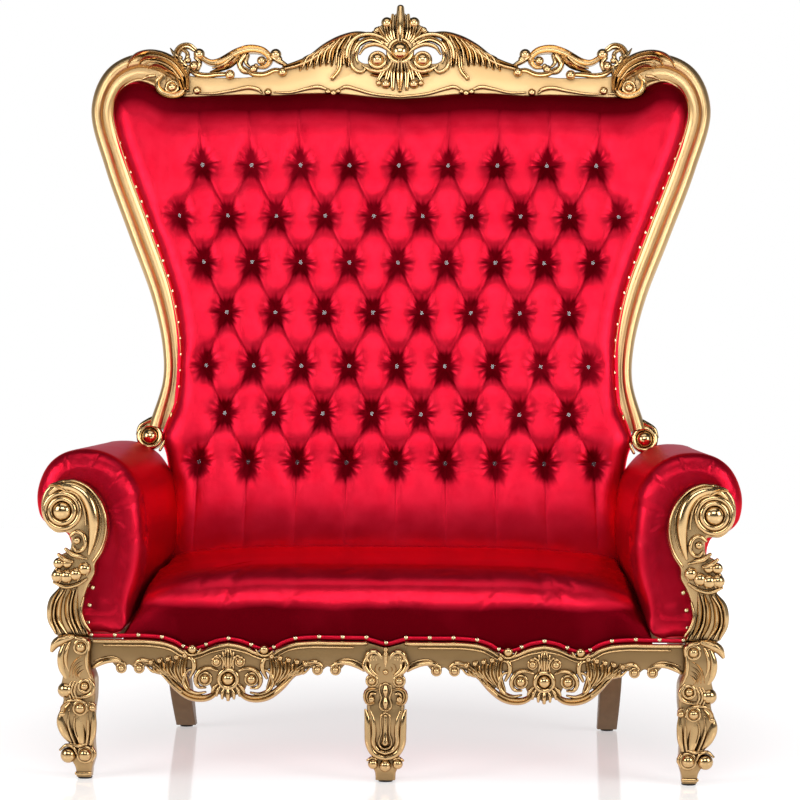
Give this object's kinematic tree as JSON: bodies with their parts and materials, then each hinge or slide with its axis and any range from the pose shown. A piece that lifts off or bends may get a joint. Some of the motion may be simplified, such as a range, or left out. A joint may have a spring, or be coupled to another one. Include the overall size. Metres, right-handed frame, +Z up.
{
  "type": "throne",
  "caption": "High-backed double throne: carved gilt frame with a flared crested back, deep-buttoned red satin, tight seat, rolled arms, scrolled legs and a pierced apron.",
  "frame": {"origin": "on the floor, under the middle of the throne's bounding box", "axes": "+X towards the left hand of someone sitting in it, -Y the way the throne faces, +Z up"},
  "size_m": [1.59, 0.867, 1.8505],
  "materials": {
    "gilding": "polished gilding over carved wood",
    "satin": "lustrous red satin over padding",
    "glide": "dark felt and plastic pad"
  },
  "bodies": {
    "root": {"back_frame": "gilding", "back_panel": "satin", "back_cover": "satin", "seat_cushion": "satin", "arm_right": "satin", "arm_left": "satin", "arm_post_right": "gilding", "arm_post_left": "gilding", "leg_front_right": "gilding", "leg_front_left": "gilding", "leg_front_centre": "gilding", "leg_rear_right": "gilding", "leg_rear_left": "gilding", "front_rail_right": "gilding", "front_rail_left": "gilding", "side_rail_right": "gilding", "side_rail_left": "gilding", "rear_rail": "gilding", "glide_front_right": "glide", "glide_front_left": "glide", "glide_front_centre": "glide", "glide_rear_right": "glide", "glide_rear_left": "glide"}
  },
  "joints": []
}
